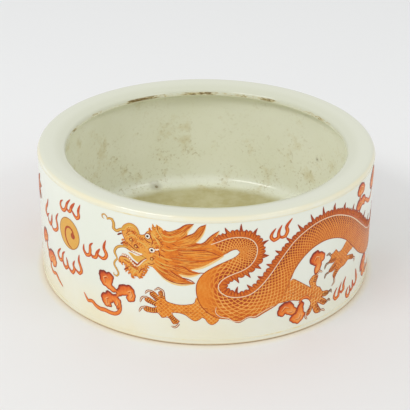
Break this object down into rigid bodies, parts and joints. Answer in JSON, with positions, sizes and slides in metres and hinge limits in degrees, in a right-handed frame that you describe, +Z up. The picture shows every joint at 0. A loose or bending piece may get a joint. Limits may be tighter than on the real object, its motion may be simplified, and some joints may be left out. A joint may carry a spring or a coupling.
{
  "type": "brush washer",
  "caption": "Round porcelain brush washer: a low drum with an in-turned rim and foot ring, its wall painted with dragons chasing flaming pearls.",
  "frame": {"origin": "centre of the round washer, on the surface that its foot ring stands on", "axes": "+Z up along the axis of the turned form; the first dragon's head and saddle face -Y, the side that the picture shows"},
  "size_m": [0.2002, 0.2002, 0.0806],
  "materials": {
    "porcelain": "gloss",
    "gilding": "worn satin",
    "pearl_enamel": "satin",
    "iron_red_enamel": "satin"
  },
  "bodies": {
    "root": {"clouds_1": "iron_red_enamel", "clouds_2": "iron_red_enamel", "dragon_body_1": "iron_red_enamel", "dragon_body_2": "iron_red_enamel", "dragon_forelegs_1": "iron_red_enamel", "dragon_forelegs_2": "iron_red_enamel", "dragon_head_1": "iron_red_enamel", "dragon_head_2": "iron_red_enamel", "dragon_hind_legs_1": "iron_red_enamel", "dragon_hind_legs_2": "iron_red_enamel", "dragon_mane_1": "iron_red_enamel", "dragon_mane_2": "iron_red_enamel", "dragon_tail_1": "iron_red_enamel", "dragon_tail_2": "iron_red_enamel", "dragon_whiskers_1": "iron_red_enamel", "dragon_whiskers_2": "iron_red_enamel", "foot_gilt_line": "gilding", "loose_flames_1": "iron_red_enamel", "loose_flames_2": "iron_red_enamel", "pearl_1": "pearl_enamel", "pearl_2": "pearl_enamel", "pearl_flames_1": "iron_red_enamel", "pearl_flames_2": "iron_red_enamel", "porcelain_body": "porcelain", "shoulder_gilt_line": "gilding"}
  },
  "joints": []
}
